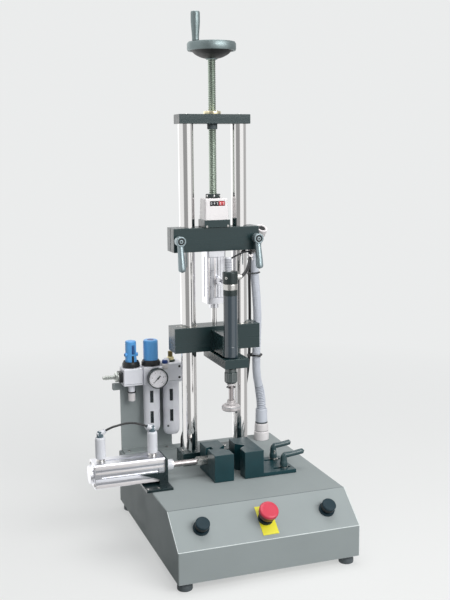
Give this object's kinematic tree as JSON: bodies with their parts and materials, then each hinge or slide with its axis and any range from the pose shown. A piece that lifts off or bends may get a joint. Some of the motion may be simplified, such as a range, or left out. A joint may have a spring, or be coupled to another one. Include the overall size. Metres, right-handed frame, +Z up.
{
  "type": "tabletop capping machine",
  "caption": "Bench capping machine: sloped cabinet, guide columns with a screw-set carriage, air lift head with spinning chuck, bottle jaws and an air unit.",
  "frame": {"origin": "bottom centre of the whole machine, on the surface it stands on", "axes": "+Z up, -Y towards the operator, +X to the operator's right"},
  "size_m": [0.523, 0.497, 1.1685],
  "materials": {
    "painted_steel": "satin grey powder coat",
    "zinc_steel": "zinc plated",
    "black_rubber": "matt",
    "dark_anodised": "dark slate anodised",
    "green_black": "dark green-black coat",
    "hard_chrome": "ground and hard chromed",
    "screw_steel": "rolled thread",
    "brass": "turned",
    "clear_anodised": "clear anodised profile",
    "black_steel": "black coat",
    "light_valve": "pale grey",
    "black_tube": "polyurethane tube",
    "bright_steel": "turned steel",
    "bushing": "sintered bronze",
    "valve_body": "light die-cast",
    "clear_bowl": "polycarbonate",
    "gauge_steel": "polished",
    "needle_black": "black",
    "white_plastic": "moulded",
    "conduit_plastic": "corrugated",
    "button_black": "moulded",
    "stop_red": "moulded",
    "stop_yellow": "laminate",
    "module_grey": "moulded",
    "knob_blue": "moulded",
    "lever_black": "black coat",
    "lever_grey": "grey cast",
    "wheel_grey": "reinforced moulding",
    "driver_metal": "blued steel",
    "knurled_black": "knurled and blacked"
  },
  "bodies": {
    "base": {"cabinet_shell": "painted_steel", "floor_pan": "zinc_steel", "rubber_feet": "black_rubber", "fixing_screws": "zinc_steel", "column_beam": "zinc_steel", "column_base_bar": "dark_anodised", "guide_columns": "hard_chrome", "top_crossbar": "dark_anodised", "spindle_nut": "brass", "clamp_cylinder": "clear_anodised", "clamp_foot_bracket": "black_steel", "flow_valves": "light_valve", "clamp_tubes": "black_tube", "lever_studs": "bright_steel", "air_bracket": "painted_steel", "shutoff_valve": "valve_body", "filter_regulator": "valve_body", "lubricator": "valve_body", "bowls": "clear_bowl", "bowl_guards": "valve_body", "gauge_case": "gauge_steel", "air_inlet": "bright_steel", "deck_glands": "white_plastic", "service_lines": "conduit_plastic", "control_collars": "button_black", "stop_plate": "stop_yellow", "control_valves": "module_grey"},
    "left_jaw": {"jaw_left": "green_black", "clamp_rod": "hard_chrome", "rod_coupler": "bright_steel"},
    "right_jaw": {"jaw_right": "green_black"},
    "lever_front": {"plate_lever_front": "lever_black"},
    "lever_rear": {"plate_lever_rear": "lever_black"},
    "carriage": {"clamp_crossbar": "dark_anodised", "indicator_base": "dark_anodised", "indicator_housing": "white_plastic", "lift_cylinder": "clear_anodised", "conduit_clip": "white_plastic"},
    "bar_lever_left": {"crossbar_lever_left": "lever_grey"},
    "bar_lever_right": {"crossbar_lever_right": "lever_grey"},
    "spindle_set": {"spindle": "screw_steel", "handwheel": "wheel_grey"},
    "crank": {"crank_handle": "wheel_grey"},
    "head": {"slide_crossbar": "dark_anodised", "slide_bushes": "bushing", "nose_block": "dark_anodised", "support_plate": "dark_anodised", "driver_body": "driver_metal", "driver_nut": "knurled_black", "lift_rod": "hard_chrome", "head_hoses": "black_tube"},
    "chuck": {"drive_shaft": "bright_steel", "capping_disc": "bright_steel"},
    "stop_plunger": {"stop_stem": "button_black"},
    "stop_cap": {"stop_head": "stop_red"},
    "button_left": {"start_button_left": "button_black"},
    "button_right": {"start_button_right": "button_black"},
    "shutoff": {"shutoff_knob": "knob_blue"},
    "regulator": {"regulator_knob": "knob_blue"},
    "needle": {"gauge_needle": "needle_black"}
  },
  "joints": [
    {"name": "spindle_turn", "type": "hinge", "parent": "carriage", "child": "spindle_set", "pos_m": [0.0615, 0.1025, 0.698], "axis": [0, 0, 1], "range_deg": [-4500, 10800]},
    {"name": "carriage_lift", "type": "slide", "parent": "base", "child": "carriage", "axis": [0, 0, 1], "range_m": [-0.0501, 0.1201], "deforming": ["service_lines"]},
    {"name": "crank_spin", "type": "hinge", "parent": "spindle_set", "child": "crank", "pos_m": [0.02006, 0.08863, 1.1065], "axis": [0, 0, 1], "continuous": true},
    {"name": "head_slide", "type": "slide", "parent": "carriage", "child": "head", "axis": [0, 0, 1], "range_m": [-0.015, 0.035], "deforming": ["head_hoses"]},
    {"name": "chuck_spin", "type": "hinge", "parent": "head", "child": "chuck", "pos_m": [0.063, -0.0045, 0.2945], "axis": [0, 0, 1], "continuous": true},
    {"name": "jaw_clamp", "type": "slide", "parent": "base", "child": "left_jaw", "axis": [1, 0, 0], "range_m": [-0.025, 0.008]},
    {"name": "right_jaw_adjust", "type": "slide", "parent": "base", "child": "right_jaw", "axis": [1, 0, 0], "range_m": [-0.01, 0.02]},
    {"name": "lever_front_turn", "type": "hinge", "parent": "base", "child": "lever_front", "pos_m": [0.179, -0.0335, 0.166], "axis": [0, 0, 1], "range_deg": [-60, 20]},
    {"name": "lever_rear_turn", "type": "hinge", "parent": "base", "child": "lever_rear", "pos_m": [0.179, 0.0245, 0.166], "axis": [0, 0, 1], "range_deg": [-20, 60]},
    {"name": "bar_lever_left_turn", "type": "hinge", "parent": "carriage", "child": "bar_lever_left", "pos_m": [-0.0305, 0.1025, 0.671], "axis": [0, 1, 0], "range_deg": [0, 80]},
    {"name": "bar_lever_right_turn", "type": "hinge", "parent": "carriage", "child": "bar_lever_right", "pos_m": [0.1535, 0.1025, 0.671], "axis": [0, 1, 0], "range_deg": [-80, 0]},
    {"name": "stop_press", "type": "slide", "parent": "base", "child": "stop_plunger", "axis": [0, 0.6183, -0.786], "range_m": [0, 0.005]},
    {"name": "stop_twist", "type": "hinge", "parent": "stop_plunger", "child": "stop_cap", "pos_m": [0.0615, -0.211, 0.1165], "axis": [0, -0.6183, 0.786], "range_deg": [0, 30]},
    {"name": "start_left_press", "type": "slide", "parent": "base", "child": "button_left", "axis": [0, 0.6183, -0.786], "range_m": [0, 0.004], "stiffness_N_per_m": 600, "springref_m": -0.003},
    {"name": "start_right_press", "type": "slide", "parent": "base", "child": "button_right", "axis": [0, 0.6183, -0.786], "range_m": [0, 0.004], "stiffness_N_per_m": 600, "springref_m": -0.003},
    {"name": "shutoff_turn", "type": "hinge", "parent": "base", "child": "shutoff", "pos_m": [-0.1095, 0.2215, 0.358], "axis": [0, 0, 1], "range_deg": [0, 90]},
    {"name": "regulator_turn", "type": "hinge", "parent": "base", "child": "regulator", "pos_m": [-0.0605, 0.2215, 0.358], "axis": [0, 0, 1], "range_deg": [-720, 720]},
    {"name": "gauge_swing", "type": "hinge", "parent": "base", "child": "needle", "pos_m": [-0.056, 0.1705, 0.3355], "axis": [0, 1, 0], "range_deg": [0, 270], "stiffness_Nm_per_rad": 0.0005, "springref_deg": -5.73}
  ],
  "couplings": [
    {"joint": "carriage_lift", "follows": "spindle_turn", "m_per_rad": 0.00063662}
  ]
}
